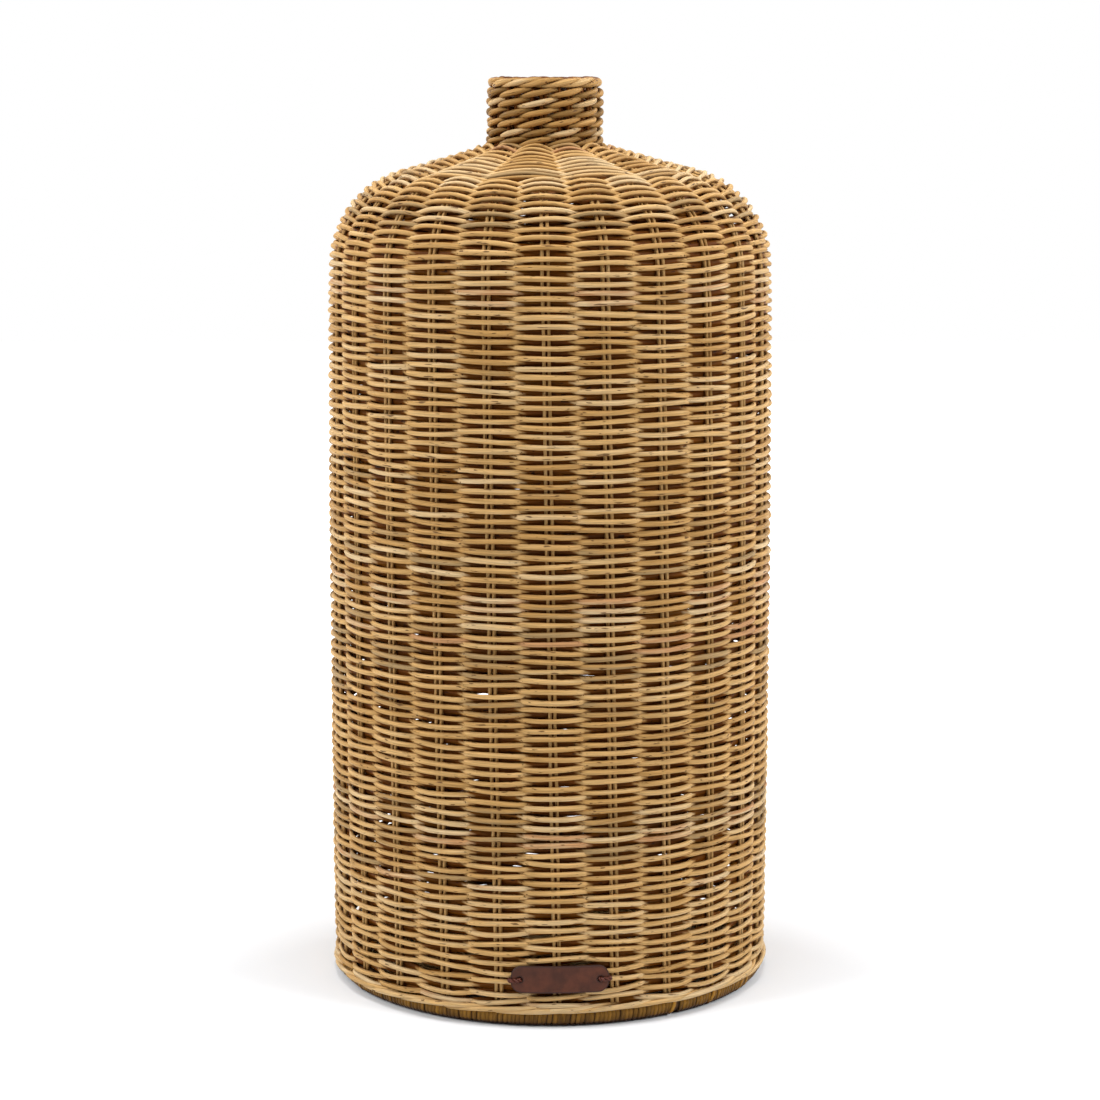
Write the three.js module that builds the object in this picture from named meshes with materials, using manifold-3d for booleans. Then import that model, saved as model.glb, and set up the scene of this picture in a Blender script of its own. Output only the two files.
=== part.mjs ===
// Woven rattan bottle vase. Doubled stakes stand on a bound foot hoop and run up between an outer and an inner
// layer of woven strands, over a rounded shoulder, into a twined neck with a rolled rim.
// Millimetres, +Z up, front towards -Y, origin on the floor under the middle of the body.
import * as THREE from "three";
import { mergeVertices } from "three/addons/utils/BufferGeometryUtils.js";
import Module from "manifold-3d";

const wasm = await Module();
wasm.setup();

// Overall outside sizes
const HEIGHT = 512.8;
const BODY_RADIUS = 125;
const SHOULDER_RADIUS = 56;
const CROWN_SLOPE = THREE.MathUtils.degToRad(15.5);
const NECK_RADIUS = 33;
const NECK_LEAN = -3;
const NECK_FILLET = 6;

// Rattan sections
const STRAND = 2.9;
const NECK_STRAND = 3.6;
const STAKE = 2;
const STAKE_SPACING = 3.2;
const STAKE_PAIRS = 24;
const TWIST_AT_FOOT = THREE.MathUtils.degToRad(1.9);
const TWIST_AT_SHOULDER = THREE.MathUtils.degToRad(-1.2);
const ROW_PITCH = 2.65;
const SPAN_RELIEF = 1.4;

// Neck rows and rim
const NECK_ROWS = 6;
const ROW_RELIEF = 1.1;
const NECK_RISE = 39.6;
const RIM_HEIGHT = 5.5;

// Foot and base
const FOOT_PROUD = 1.2;
const HOOP = 11.3;
const PEEL = 0.7;
const BASE_THICKNESS = 5;
const WALE_PROUD = 1.2;

// Leather label and its thongs
const LABEL_LENGTH = 53.8;
const LABEL_HEIGHT = 15;
const LABEL_THICKNESS = 2;
const LABEL_CORNER = 6;
const LABEL_CENTRE = 28.3;
const LABEL_AZIMUTH = THREE.MathUtils.degToRad(2.5);
const LABEL_HOLE = 3.2;
const HOLE_INSET = 5;
const THONG = 1.8;

// Clearances and facets
const FIT = 0.3;
const STAKE_PLAY = 0.9;
const BODY_FACETS = 48;
const FOOT_FACETS = 36;
const NECK_FACETS = 24;
const SHOULDER_STEPS = 4;
const STAKE_SIDES = 5;
const HOOP_SIDES = 12;
const RIM_SIDES = 10;

const STRAW = 0xc2a06c;
const HONEY = 0xb08a58;
const DARK_CANE = 0xa07c4e;
const PEEL_BROWN = 0x8d6f45;
const LEATHER = 0x5d3a31;
const THONG_BROWN = 0x35261f;

// The wall's middle line, where the stakes run, from the floor of the weave to the rim
const CHANNEL = STAKE + 2 * STAKE_PLAY;
const midRadius = BODY_RADIUS - STRAND - CHANNEL / 2;
const arcRadius = SHOULDER_RADIUS - STRAND - CHANNEL / 2;
const neckMid = NECK_RADIUS - NECK_STRAND - CHANNEL / 2;
const arcTurn = Math.PI / 2 - CROWN_SLOPE;
const arcEnd = midRadius - arcRadius * (1 - Math.cos(arcTurn));
const neckFoot = HEIGHT - NECK_RISE;
const crownFoot = neckFoot - (arcEnd - neckMid) * Math.tan(CROWN_SLOPE);
const shoulderFoot = crownFoot - arcRadius * Math.sin(arcTurn);
const filletTop = neckFoot + NECK_FILLET * Math.tan(arcTurn / 2);
const rimFoot = HEIGHT - RIM_HEIGHT;

// Distances of the two weave layers from the middle line
const outerNear = CHANNEL / 2;
const outerFar = outerNear + STRAND;
const neckFar = outerNear + NECK_STRAND;

// The foot ring carries the wale on its outer shoulder, and the base, the weave and the stakes build up from it
const waleInside = midRadius + outerNear + FIT;
const hoopFlat = HOOP / 2;
const bindingFlat = hoopFlat + FIT + PEEL;
const hoopRadius = waleInside + FOOT_PROUD - bindingFlat;
const baseFoot = bindingFlat + hoopFlat + FIT;
const baseTop = baseFoot + BASE_THICKNESS;
const weaveFoot = baseTop + FIT;
const stakeFoot = baseFoot;

// The label lies on the body, and its thongs leave it through the holes and past its ends
const labelBack = BODY_RADIUS + FIT;
const labelFront = labelBack + LABEL_THICKNESS;
const holeAngle = (LABEL_LENGTH / 2 - HOLE_INSET) / labelBack;
const endAngle = (LABEL_LENGTH / 2 + FIT + THONG / 2) / labelBack;

// A place on the middle line with its outward direction
function station(r, z, angle) {
  return { r, z, nr: Math.cos(angle), nz: Math.sin(angle) };
}

function offset(place, distance) {
  return new THREE.Vector2(place.r + place.nr * distance, place.z + place.nz * distance);
}

function sideStation(share) {
  return station(midRadius, THREE.MathUtils.lerp(weaveFoot, shoulderFoot, share), 0);
}

function arcStation(share) {
  const angle = arcTurn * share;
  const r = midRadius - arcRadius * (1 - Math.cos(angle));
  return station(r, shoulderFoot + arcRadius * Math.sin(angle), angle);
}

function filletStation(share) {
  const angle = arcTurn * (1 - share);
  const r = neckMid + NECK_FILLET * (1 - Math.cos(angle));
  return station(r, filletTop - NECK_FILLET * Math.sin(angle), angle);
}

// Evenly spaced stations from the start of a run to its end
function stations(steps, at) {
  return Array.from({ length: steps + 1 }, (_, step) => at(step / steps));
}

const shoulderLine = stations(SHOULDER_STEPS, arcStation);
const neckLine = [filletStation(0), filletStation(0.5), filletStation(1)];
const crownLine = [shoulderLine[SHOULDER_STEPS], neckLine[0]];
const neckTop = station(neckMid, rimFoot, 0);
const sideLine = stations(1, sideStation);

// The same two runs with a station at each woven row. The side has an even number of rows, so that the shoulder's
// rows go on by turns.
const sideRows = stations(2 * Math.round((shoulderFoot - weaveFoot) / (2 * ROW_PITCH)), sideStation);
const shoulderRows = stations(Math.round((arcRadius * arcTurn) / ROW_PITCH), arcStation);

// The stakes drift round the body as they rise
function twistAt(z) {
  const share = THREE.MathUtils.clamp((z - stakeFoot) / (shoulderFoot - stakeFoot), 0, 1);
  return THREE.MathUtils.lerp(TWIST_AT_FOOT, TWIST_AT_SHOULDER, share);
}

// The neck stands a little to one side, and the shoulder leads over to it
function lean(geometry) {
  const position = geometry.getAttribute("position");
  for (let i = 0; i < position.count; i += 1) {
    const share = THREE.MathUtils.clamp((position.getZ(i) - shoulderFoot) / (neckFoot - shoulderFoot), 0, 1);
    position.setX(i, position.getX(i) + NECK_LEAN * share * share);
  }
  return geometry;
}

// A closed profile of radius and height, turned about +Z
function turned(profile, facets) {
  const geometry = new THREE.LatheGeometry([...profile, profile[0]], facets);
  return geometry.rotateX(Math.PI / 2);
}

// One layer of weave between two distances from the middle line
function layer(line, near, far) {
  const outside = line.map((place) => offset(place, far));
  const inside = line.map((place) => offset(place, near));
  return [...outside, ...inside.reverse()];
}

// Shortens a run of the middle line so that two neighbouring layers don't meet
function eased(line) {
  const first = { ...line[0] };
  first.r -= first.nz * FIT;
  first.z += first.nr * FIT;
  return [first, ...line.slice(1)];
}

// The spans that the label and its thongs lie on are flat
function behindLabel(z, azimuth) {
  const reach = endAngle + Math.PI / STAKE_PAIRS;
  return Math.abs(z - LABEL_CENTRE) < LABEL_HEIGHT / 2 && Math.cos(azimuth - LABEL_AZIMUTH) > Math.cos(reach);
}

// An outer layer with one profile at each stake. A row passes over every other stake and dips behind the ones
// between, and each face is split from crest to crest.
function wovenLayer(rows, inside) {
  const last = rows.length - 1;
  const size = rows.length + inside.length;
  const position = [];
  const index = [];
  for (let stake = 0; stake < STAKE_PAIRS; stake += 1) {
    const turn = (2 * Math.PI * stake) / STAKE_PAIRS;
    const outside = rows.map((place, row) => {
      const inner = row > 0 && row < last && (row + stake) % 2 === 1;
      const dip = inner && !behindLabel(place.z, turn) ? SPAN_RELIEF : 0;
      return offset(place, outerFar - dip);
    });
    const back = inside.map((place) => offset(place, outerNear)).reverse();
    for (const { x: r, y: z } of [...outside, ...back]) {
      const azimuth = turn + twistAt(z);
      position.push(r * Math.sin(azimuth), -r * Math.cos(azimuth), z);
    }
    const here = stake * size;
    const next = ((stake + 1) % STAKE_PAIRS) * size;
    for (let row = 0; row < size; row += 1) {
      const above = (row + 1) % size;
      const [a, b, c, d] = [here + row, next + row, next + above, here + above];
      const faces = (row + stake) % 2 === 0 ? [a, b, c, a, c, d] : [a, b, d, b, c, d];
      index.push(...faces);
    }
  }
  const geometry = new THREE.BufferGeometry();
  geometry.setAttribute("position", new THREE.Float32BufferAttribute(position, 3));
  geometry.setIndex(index);
  return geometry;
}

// A rope-like row shows as a rounded ridge
function neckOuterProfile() {
  const foot = eased(neckLine)[0];
  const first = offset(foot, neckFar);
  const pitch = (rimFoot - FIT - first.y) / NECK_ROWS;
  const ridges = [];
  for (let row = 0; row < NECK_ROWS; row += 1) {
    const low = first.y + row * pitch;
    ridges.push(new THREE.Vector2(NECK_RADIUS, low + pitch * 0.3));
    ridges.push(new THREE.Vector2(NECK_RADIUS, low + pitch * 0.7));
    ridges.push(new THREE.Vector2(NECK_RADIUS - ROW_RELIEF, low + pitch));
  }
  const bore = [new THREE.Vector2(neckMid + outerNear, rimFoot - FIT)];
  const fillet = eased(neckLine).map((place) => offset(place, outerNear)).reverse();
  return [first, ...ridges, ...bore, ...fillet];
}

function neckInnerProfile() {
  const top = station(neckMid, rimFoot - FIT, 0);
  return layer([...eased(neckLine), top], -neckFar, -outerNear);
}

function rimProfile() {
  const halfWidth = (NECK_RADIUS - ROW_RELIEF - (neckMid - neckFar)) / 2;
  const middle = neckMid - neckFar + halfWidth;
  const points = [];
  for (let side = 0; side < RIM_SIDES; side += 1) {
    const angle = (2 * Math.PI * side) / RIM_SIDES + Math.PI / 2;
    const r = middle + halfWidth * Math.cos(angle);
    points.push(new THREE.Vector2(r, HEIGHT - (RIM_HEIGHT / 2) * (1 - Math.sin(angle))));
  }
  return points;
}

// A many-sided ring section about the hoop's own middle, with its flats at the given distance
function hoopPoint(flat, side) {
  const angle = (2 * Math.PI * (side + 0.5)) / HOOP_SIDES - Math.PI / 2;
  const reach = flat / Math.cos(Math.PI / HOOP_SIDES);
  return new THREE.Vector2(hoopRadius + reach * Math.cos(angle), bindingFlat + reach * Math.sin(angle));
}

function hoopProfile() {
  return Array.from({ length: HOOP_SIDES }, (_, side) => hoopPoint(hoopFlat, side));
}

// The lapped peel goes round the hoop's sides and underside and is open where the base rests on the hoop
function bindingProfile() {
  const openSides = HOOP_SIDES / 4;
  const start = HOOP_SIDES / 2 + (openSides - 1) / 2;
  const sides = Array.from({ length: HOOP_SIDES - openSides + 1 }, (_, step) => start + step);
  const outside = sides.map((side) => hoopPoint(bindingFlat, side));
  const inside = sides.map((side) => hoopPoint(hoopFlat + FIT, side)).reverse();
  return [...outside, ...inside];
}

function baseProfile() {
  const edge = midRadius - CHANNEL / 2;
  return [[0, baseFoot], [edge, baseFoot], [edge, baseTop], [0, baseTop]].map(([r, z]) => new THREE.Vector2(r, z));
}

// The wale is cut to lie on the ring's outer shoulder
function waleProfile() {
  const outside = BODY_RADIUS + WALE_PROUD;
  const round = WALE_PROUD;
  const top = weaveFoot - FIT;
  const widest = hoopPoint(bindingFlat + FIT, HOOP_SIDES / 4);
  const shoulder = hoopPoint(bindingFlat + FIT, HOOP_SIDES / 4 + 1);
  const seat = widest.clone().lerp(shoulder, (widest.x - waleInside) / (widest.x - shoulder.x));
  return [
    seat,
    widest,
    new THREE.Vector2(outside - round, widest.y),
    new THREE.Vector2(outside, widest.y + 2 * round),
    new THREE.Vector2(outside, top - 2 * round),
    new THREE.Vector2(outside - round, top),
    new THREE.Vector2(waleInside, top),
  ];
}

// A rod through the listed places, straight between them
class Rod extends THREE.Curve {
  constructor(places) {
    super();
    this.places = places;
  }

  getUtoTmapping(u) {
    return u;
  }

  getPoint(t, target = new THREE.Vector3()) {
    const last = this.places.length - 1;
    const index = Math.min(Math.floor(t * last), last - 1);
    return target.lerpVectors(this.places[index], this.places[index + 1], t * last - index);
  }
}

function roundSection(diameter, sides) {
  const points = Array.from({ length: sides }, (_, side) => {
    const angle = (2 * Math.PI * side) / sides;
    return new THREE.Vector2(Math.cos(angle), Math.sin(angle)).multiplyScalar(diameter / 2);
  });
  return new THREE.Shape(points);
}

// One stick doubled over at the foot, so that its two legs run up side by side
function stakeGeometry(pair) {
  const turn = (2 * Math.PI * pair) / STAKE_PAIRS;
  const reach = STAKE_SPACING / 2;
  const bend = stakeFoot + STAKE / 2 + reach;
  const top = { ...neckTop, z: neckTop.z - FIT };
  const line = [station(midRadius, bend, 0), ...shoulderLine, ...neckLine, top];
  const place = ({ r, z }, side, drop = 0) => {
    const azimuth = turn + twistAt(z);
    const along = side * reach;
    const x = r * Math.sin(azimuth) + along * Math.cos(azimuth);
    const y = -r * Math.cos(azimuth) + along * Math.sin(azimuth);
    return new THREE.Vector3(x, y, z - drop);
  };
  const up = line.map((spot) => place(spot, 1));
  const down = line.map((spot) => place(spot, -1)).reverse();
  const turns = [-1, 0, 1].map((step) => {
    const angle = (step * Math.PI) / 4;
    return place(line[0], Math.sin(angle), reach * Math.cos(angle));
  });
  const rod = new Rod([...down, ...turns, ...up]);
  const settings = { steps: rod.places.length - 1, extrudePath: rod, bevelEnabled: false };
  return new THREE.ExtrudeGeometry(roundSection(STAKE, STAKE_SIDES), settings);
}

// Solids for cutting and joining
function solidOf(geometry) {
  const bare = geometry.index ? geometry.toNonIndexed() : geometry.clone();
  bare.deleteAttribute("normal");
  bare.deleteAttribute("uv");
  const merged = mergeVertices(bare, 1e-4);
  const vertProperties = Float32Array.from(merged.getAttribute("position").array);
  const triVerts = Uint32Array.from(merged.getIndex().array);
  return new wasm.Manifold(new wasm.Mesh({ numProp: 3, vertProperties, triVerts }));
}

function geometryOf(solid) {
  const mesh = solid.getMesh();
  const geometry = new THREE.BufferGeometry();
  geometry.setAttribute("position", new THREE.BufferAttribute(mesh.vertProperties, 3));
  geometry.setIndex(new THREE.BufferAttribute(mesh.triVerts, 1));
  return geometry;
}

// Puts a piece drawn at the front, where -Y points outwards, at its place round the body
function atAzimuth(geometry, azimuth, height) {
  return geometry.rotateZ(azimuth).translate(0, 0, height);
}

// A bar that follows the body's round, cut to the label's outline and pierced for the thongs
function labelGeometry() {
  const half = LABEL_LENGTH / labelFront;
  const plan = new THREE.Shape();
  plan.absarc(0, 0, labelFront, -Math.PI / 2 - half, -Math.PI / 2 + half, false);
  plan.absarc(0, 0, labelBack, -Math.PI / 2 + half, -Math.PI / 2 - half, true);
  const bar = new THREE.ExtrudeGeometry(plan, { depth: LABEL_HEIGHT * 2, bevelEnabled: false, curveSegments: 16 });
  bar.translate(0, 0, -LABEL_HEIGHT);
  const x = labelBack * Math.sin(LABEL_LENGTH / 2 / labelBack);
  const z = LABEL_HEIGHT / 2;
  const outline = new THREE.Shape();
  outline.absarc(x - LABEL_CORNER, z - LABEL_CORNER, LABEL_CORNER, 0, Math.PI / 2, false);
  outline.absarc(LABEL_CORNER - x, z - LABEL_CORNER, LABEL_CORNER, Math.PI / 2, Math.PI, false);
  outline.absarc(LABEL_CORNER - x, LABEL_CORNER - z, LABEL_CORNER, Math.PI, 1.5 * Math.PI, false);
  outline.absarc(x - LABEL_CORNER, LABEL_CORNER - z, LABEL_CORNER, 1.5 * Math.PI, 2 * Math.PI, false);
  const stamp = new THREE.ExtrudeGeometry(outline, { depth: labelFront, bevelEnabled: false, curveSegments: 4 });
  stamp.rotateX(Math.PI / 2).translate(0, -BODY_RADIUS / 2, 0);
  let solid = solidOf(bar).intersect(solidOf(stamp));
  for (const angle of [-holeAngle, holeAngle]) {
    const drill = new THREE.CylinderGeometry(LABEL_HOLE / 2, LABEL_HOLE / 2, BODY_RADIUS, 10);
    solid = solid.subtract(solidOf(drill.translate(0, -labelFront, 0).rotateZ(angle)));
  }
  return atAzimuth(geometryOf(solid), LABEL_AZIMUTH, LABEL_CENTRE);
}

const legGap = (endAngle - holeAngle) * labelBack;
const legMiddle = (endAngle + holeAngle) / 2;
const thongFront = labelFront + FIT + THONG;
const thongBack = midRadius + STAKE / 2 + FIT;

// A link through the label's hole, over its end and behind the outer weave, or with grow its way through
function thongGeometry(side, grow) {
  const half = (legGap + THONG) / 2 + grow;
  const thick = THONG + 2 * grow;
  const front = -thongFront - grow;
  const back = -thongBack + grow;
  const link = new THREE.Shape();
  link.moveTo(-half, front).lineTo(half, front).lineTo(half, back).lineTo(-half, back).closePath();
  const eye = new THREE.Path();
  eye.moveTo(thick - half, front + thick).lineTo(thick - half, back - thick);
  eye.lineTo(half - thick, back - thick).lineTo(half - thick, front + thick).closePath();
  link.holes.push(eye);
  const geometry = new THREE.ExtrudeGeometry(link, { depth: thick, bevelEnabled: false });
  geometry.translate(0, 0, -thick / 2);
  return atAzimuth(geometry, LABEL_AZIMUTH + side * legMiddle, LABEL_CENTRE);
}

// The body's outer weave, with a way through for each thong
function sideOuterGeometry() {
  const weave = solidOf(wovenLayer(sideRows, sideLine));
  const left = solidOf(thongGeometry(-1, FIT));
  const right = solidOf(thongGeometry(1, FIT));
  return geometryOf(weave.subtract(left).subtract(right));
}

const vase = new THREE.Group();

function add(name, geometry, color, roughness) {
  const mesh = new THREE.Mesh(geometry, new THREE.MeshStandardMaterial({ color, roughness, metalness: 0 }));
  mesh.name = name;
  vase.add(mesh);
}

add("foot_hoop", turned(hoopProfile(), FOOT_FACETS), DARK_CANE, 0.6);
add("hoop_binding", turned(bindingProfile(), FOOT_FACETS), PEEL_BROWN, 0.5);
add("base_weave", turned(baseProfile(), BODY_FACETS), STRAW, 0.7);
add("bottom_wale", turned(waleProfile(), BODY_FACETS), STRAW, 0.65);
add("side_weave_outer", sideOuterGeometry(), STRAW, 0.65);
add("side_weave_inner", turned(layer(sideLine, -outerFar, -outerNear), BODY_FACETS), STRAW, 0.7);
add("shoulder_weave_outer", lean(wovenLayer(eased(shoulderRows), eased(shoulderLine))), STRAW, 0.65);
add("shoulder_weave_inner", lean(turned(layer(eased(shoulderLine), -outerFar, -outerNear), BODY_FACETS)), STRAW, 0.7);
add("crown_weave_outer", lean(wovenLayer(eased(crownLine), eased(crownLine))), STRAW, 0.65);
add("crown_weave_inner", lean(turned(layer(eased(crownLine), -outerFar, -outerNear), BODY_FACETS)), STRAW, 0.7);
add("neck_twining_outer", lean(turned(neckOuterProfile(), NECK_FACETS)), DARK_CANE, 0.6);
add("neck_twining_inner", lean(turned(neckInnerProfile(), NECK_FACETS)), DARK_CANE, 0.65);
add("rim_border", lean(turned(rimProfile(), NECK_FACETS)), DARK_CANE, 0.6);
for (let pair = 0; pair < STAKE_PAIRS; pair += 1) {
  add(`stake_${String(pair + 1).padStart(2, "0")}`, lean(stakeGeometry(pair)), HONEY, 0.6);
}
add("leather_label", labelGeometry(), LEATHER, 0.7);
add("label_thong_left", thongGeometry(-1, 0), THONG_BROWN, 0.75);
add("label_thong_right", thongGeometry(1, 0), THONG_BROWN, 0.75);

export default vase;
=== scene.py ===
"""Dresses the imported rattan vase: woven strands, twined neck, bound foot and leather label."""

import math

import bmesh
import bpy
import numpy as np
from mathutils import Matrix, Vector


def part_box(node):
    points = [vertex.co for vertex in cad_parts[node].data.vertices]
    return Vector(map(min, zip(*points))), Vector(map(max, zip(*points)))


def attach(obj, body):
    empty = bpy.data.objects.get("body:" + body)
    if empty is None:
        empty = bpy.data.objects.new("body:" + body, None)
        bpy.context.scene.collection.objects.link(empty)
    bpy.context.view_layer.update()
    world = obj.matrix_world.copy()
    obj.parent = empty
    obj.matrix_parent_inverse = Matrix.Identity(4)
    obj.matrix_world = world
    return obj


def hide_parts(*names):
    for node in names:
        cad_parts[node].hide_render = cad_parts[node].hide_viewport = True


bl_info = {
    "name": "Rattan Vase",
    "version": (1, 0, 0),
    "blender": (4, 5, 0),
    "location": "View3D > Sidebar > Rattan Vase",
    "description": "Weaves a rattan bottle vase strand by strand over its packed frame",
    "category": "Add Mesh",
}

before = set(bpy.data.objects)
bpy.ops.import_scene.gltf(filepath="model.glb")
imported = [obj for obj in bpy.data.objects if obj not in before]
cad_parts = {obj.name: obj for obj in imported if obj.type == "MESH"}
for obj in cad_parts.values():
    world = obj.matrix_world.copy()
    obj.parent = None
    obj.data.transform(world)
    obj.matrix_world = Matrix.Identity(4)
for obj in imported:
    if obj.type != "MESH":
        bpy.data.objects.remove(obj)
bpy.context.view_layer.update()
MM = 0.001
SIDE_LOW, SIDE_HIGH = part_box("side_weave_outer")
NECK_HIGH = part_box("neck_twining_outer")[1]
RIM_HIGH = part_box("rim_border")[1]
HOOP_LOW, HOOP_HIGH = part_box("foot_hoop")
BINDING_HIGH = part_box("hoop_binding")[1]
BASE_LOW, BASE_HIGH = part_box("base_weave")
WALE_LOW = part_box("bottom_wale")[0]
LABEL_LOW, LABEL_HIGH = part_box("leather_label")
# How much of a strand's and of a stake's thickness lies between their middles where they cross, as
# rattan gives way there, and how flat the strand is pressed. Twined strands are pressed less.
STRAND_NEST = 0.43
STAKE_NEST = 0.46
STRAND_FLAT = 0.88
NECK_NEST = 0.98
PLY_FLAT = 0.96
# A strand's middle is painted with shade once it lies this far behind the stakes, as a share of its
# swing.
# Its edges take the painted shade sooner, by the wedge, and the border of the painted shade is soft.
SHADE_FROM = -0.5
SHADE_WEDGE = 0.8
SHADE_SOFT = 0.11
# How much painted shade lies along the lower and the upper edge of a strand, as the shadow line between
# rows, and where an edge begins.
SHADE_BELOW = 0.62
SHADE_ABOVE = 0.28
EDGE_FROM = 0.72
EDGE_SPAN = 0.28
# Shares of the strands that are russet or weathered, of the rows with a second join, and of the laps of
# peel that gape or are lashed down.
RUSSET_SHARE = 0.05
WEATHERED_SHARE = 0.11
JOIN_SHARE = 0.6
GAPING_SHARE = 0.28
LASHED_SHARE = 0.05
# Waves start anywhere in a turn, and the grain of each rod starts anywhere on a long length of rattan.
ANY_PHASE = 6.28
ANY_GRAIN = 40


def linear(code):
    """An sRGB hex colour as linear red, green, blue and alpha."""
    shares = [int(code[i : i + 2], 16) / 255 for i in (0, 2, 4)]
    return (*[s / 12.92 if s <= 0.04045 else ((s + 0.055) / 1.055) ** 2.4 for s in shares], 1.0)


def length(name, description, metres):
    """A length property."""
    return bpy.props.FloatProperty(
        name=name, description=description, default=metres, unit="LENGTH", precision=5
    )


def degrees(name, description, value):
    """An angle property that is given in degrees."""
    return bpy.props.FloatProperty(
        name=name, description=description, default=math.radians(value), subtype="ANGLE"
    )


def tally(name, description, count):
    """A property that counts stakes or rows."""
    return bpy.props.IntProperty(name=name, description=description, default=count)


def colour(name, description, code):
    """A colour property that is given as an sRGB hex value."""
    return bpy.props.FloatVectorProperty(
        name=name, description=description, default=linear(code), size=4, subtype="COLOR", min=0, max=1
    )


class VaseSizes(bpy.types.PropertyGroup):
    """Sizes of the vase and of its rattan."""

    body_radius: length("Body Radius", "Outside of the weave on the body", SIDE_HIGH.x)
    shoulder_foot: length("Shoulder Foot", "Height at which the body ends", SIDE_HIGH.z)
    rim_top: length("Rim Top", "Height of the vase", RIM_HIGH.z)
    shoulder_radius: length("Shoulder Radius", "Outside rounding of the shoulder", 56 * MM)
    crown_slope: degrees("Crown Slope", "Rise of the crown towards the neck", 15.5)
    neck_radius: length("Neck Radius", "Outside of the twined neck", 33 * MM)
    neck_rise: length("Neck Rise", "Height of the neck over the crown", 39.6 * MM)
    neck_fillet: length("Neck Fillet", "Rounding between crown and neck, on the stakes", 6 * MM)
    neck_lean: length("Neck Lean", "How far the neck stands to one side", -3 * MM)
    sag: length("Sag", "How far the shoulder has sunk, and twice that on the left", 1.2 * MM)
    swell: length("Swell", "How much the body swells half way up", 1.4 * MM)
    strand: length("Strand", "Thickness of the woven strands", 2.95 * MM)
    row_pitch: length("Row Pitch", "Distance from one woven row to the next", 2.65 * MM)
    crown_pitch: length("Crown Pitch", "Distance from one row to the next on the crown", 2.9 * MM)
    neck_strand: length("Neck Strand", "Thickness of the twined strands on the neck", 3.5 * MM)
    neck_pitch: length("Neck Pitch", "Distance from one twined row to the next", 5.42 * MM)
    stake: length("Stake", "Thickness of one stake stick", 2.2 * MM)
    stake_spacing: length("Stake Spacing", "Distance between the two sticks of a stake", 3.0 * MM)
    stake_pairs: tally("Stake Pairs", "Stakes round the body", 24)
    twist_foot: degrees("Twist At Foot", "Turn of the stakes at the foot", 1.9)
    twist_shoulder: degrees("Twist At Shoulder", "Turn of the stakes at the shoulder", -1.2)
    tilt: length("Tilt", "How much higher the lowest rows lie on the right than in front", 1.4 * MM)
    droop: length("Droop", "How much lower the lowest rows lie on both sides than in front", 2.6 * MM)
    crown_radius: length("Crown Radius", "Where the rows begin to take two stakes at a time", 86 * MM)
    neck_rows: tally("Neck Rows", "Twined rows on the neck", 6)
    peel_width: length("Peel Width", "Width of one lap of peel on the foot ring", 2.4 * MM)
    peel_thickness: length("Peel Thickness", "Thickness of the peel", 0.5 * MM)
    worn_lap: degrees("Worn Lap", "Where a lap of peel is missing", 34.7)
    label_length: length("Label Length", "Length of the leather label", 53.8 * MM)
    label_height: length("Label Height", "Height of the leather label", LABEL_HIGH.z - LABEL_LOW.z)
    label_thickness: length("Label Thickness", "Thickness of the leather", 2 * MM)
    label_corner: length("Label Corner", "Rounding of the label's corners", 6 * MM)
    label_azimuth: degrees("Label Azimuth", "Turn of the label from the front", 2.5)
    label_hole: length("Label Hole", "Width of the label's holes", 3.2 * MM)
    hole_inset: length("Hole Inset", "Distance of each hole from the label's end", 5 * MM)
    thong: length("Thong", "Thickness of one ply of the label's thongs", 1.3 * MM)


class VaseFinish(bpy.types.PropertyGroup):
    """Colours of the vase's materials."""

    straw: colour("Straw", "Most of the woven strands", "CBA369")
    pale: colour("Pale Straw", "The lightest strands", "D3B78B")
    honey: colour("Honey", "Darker strands", "B4894E")
    grey: colour("Weathered", "Strands that have gone grey-brown", "A3865B")
    umber: colour("Umber", "The darkest strands of the neck", "8A6838")
    russet: colour("Russet", "The few reddish strands", "BA8A5C")
    scar: colour("Scar", "Nicks and leaf scars in the rattan", "4A2C14")
    # Painted shade: this brown darkens the recesses, the spans behind the stakes and the edges of
    # strands, where shade falls.
    painted_shade: colour("Painted Shade", "Tint of the stain that stays in the recesses of the weave", "926818")
    peel: colour("Peel", "Flat peel on the foot ring", "A0732A")
    peel_dark: colour("Dark Peel", "Darker laps of peel", "563A14")
    leather: colour("Leather", "Face of the label", "4E2717")
    leather_edge: colour("Leather Edge", "Worn and cut edges of the label", "2E1A15")
    thong: colour("Thong", "Twisted thong of the label", "54271A")
    floor: colour("Floor", "Floor and backdrop", "EAECEF")


def add_node(tree, kind, settings=None, inputs=None):
    """Adds a node, sets its settings, and sets or links its inputs."""
    node = tree.nodes.new(kind)
    for name, value in (settings or {}).items():
        setattr(node, name, value)
    for name, value in (inputs or {}).items():
        if isinstance(value, bpy.types.NodeSocket):
            tree.links.new(value, node.inputs[name])
        else:
            node.inputs[name].default_value = value
    return node


def new_material(name):
    """An empty node material and its tree."""
    material = bpy.data.materials.new(name)
    material.use_nodes = True
    material.node_tree.nodes.clear()
    return material, material.node_tree


def along_strand(tree, long, wide, detail, rough):
    """Noise drawn out along a strand's UV map, with marks of a length and a width in millimetres."""
    uv = add_node(tree, "ShaderNodeUVMap", {"uv_map": "UVMap"})
    stretched = add_node(
        tree, "ShaderNodeMapping",
        inputs={"Vector": uv.outputs["UV"], "Scale": (1 / (long * MM), 1 / (wide * MM), 1)},
    )
    noise = add_node(
        tree, "ShaderNodeTexNoise",
        inputs={
            "Vector": stretched.outputs["Vector"], "Scale": 1.0, "Detail": detail, "Roughness": rough,
        },
    )
    return noise.outputs["Fac"]


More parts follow.
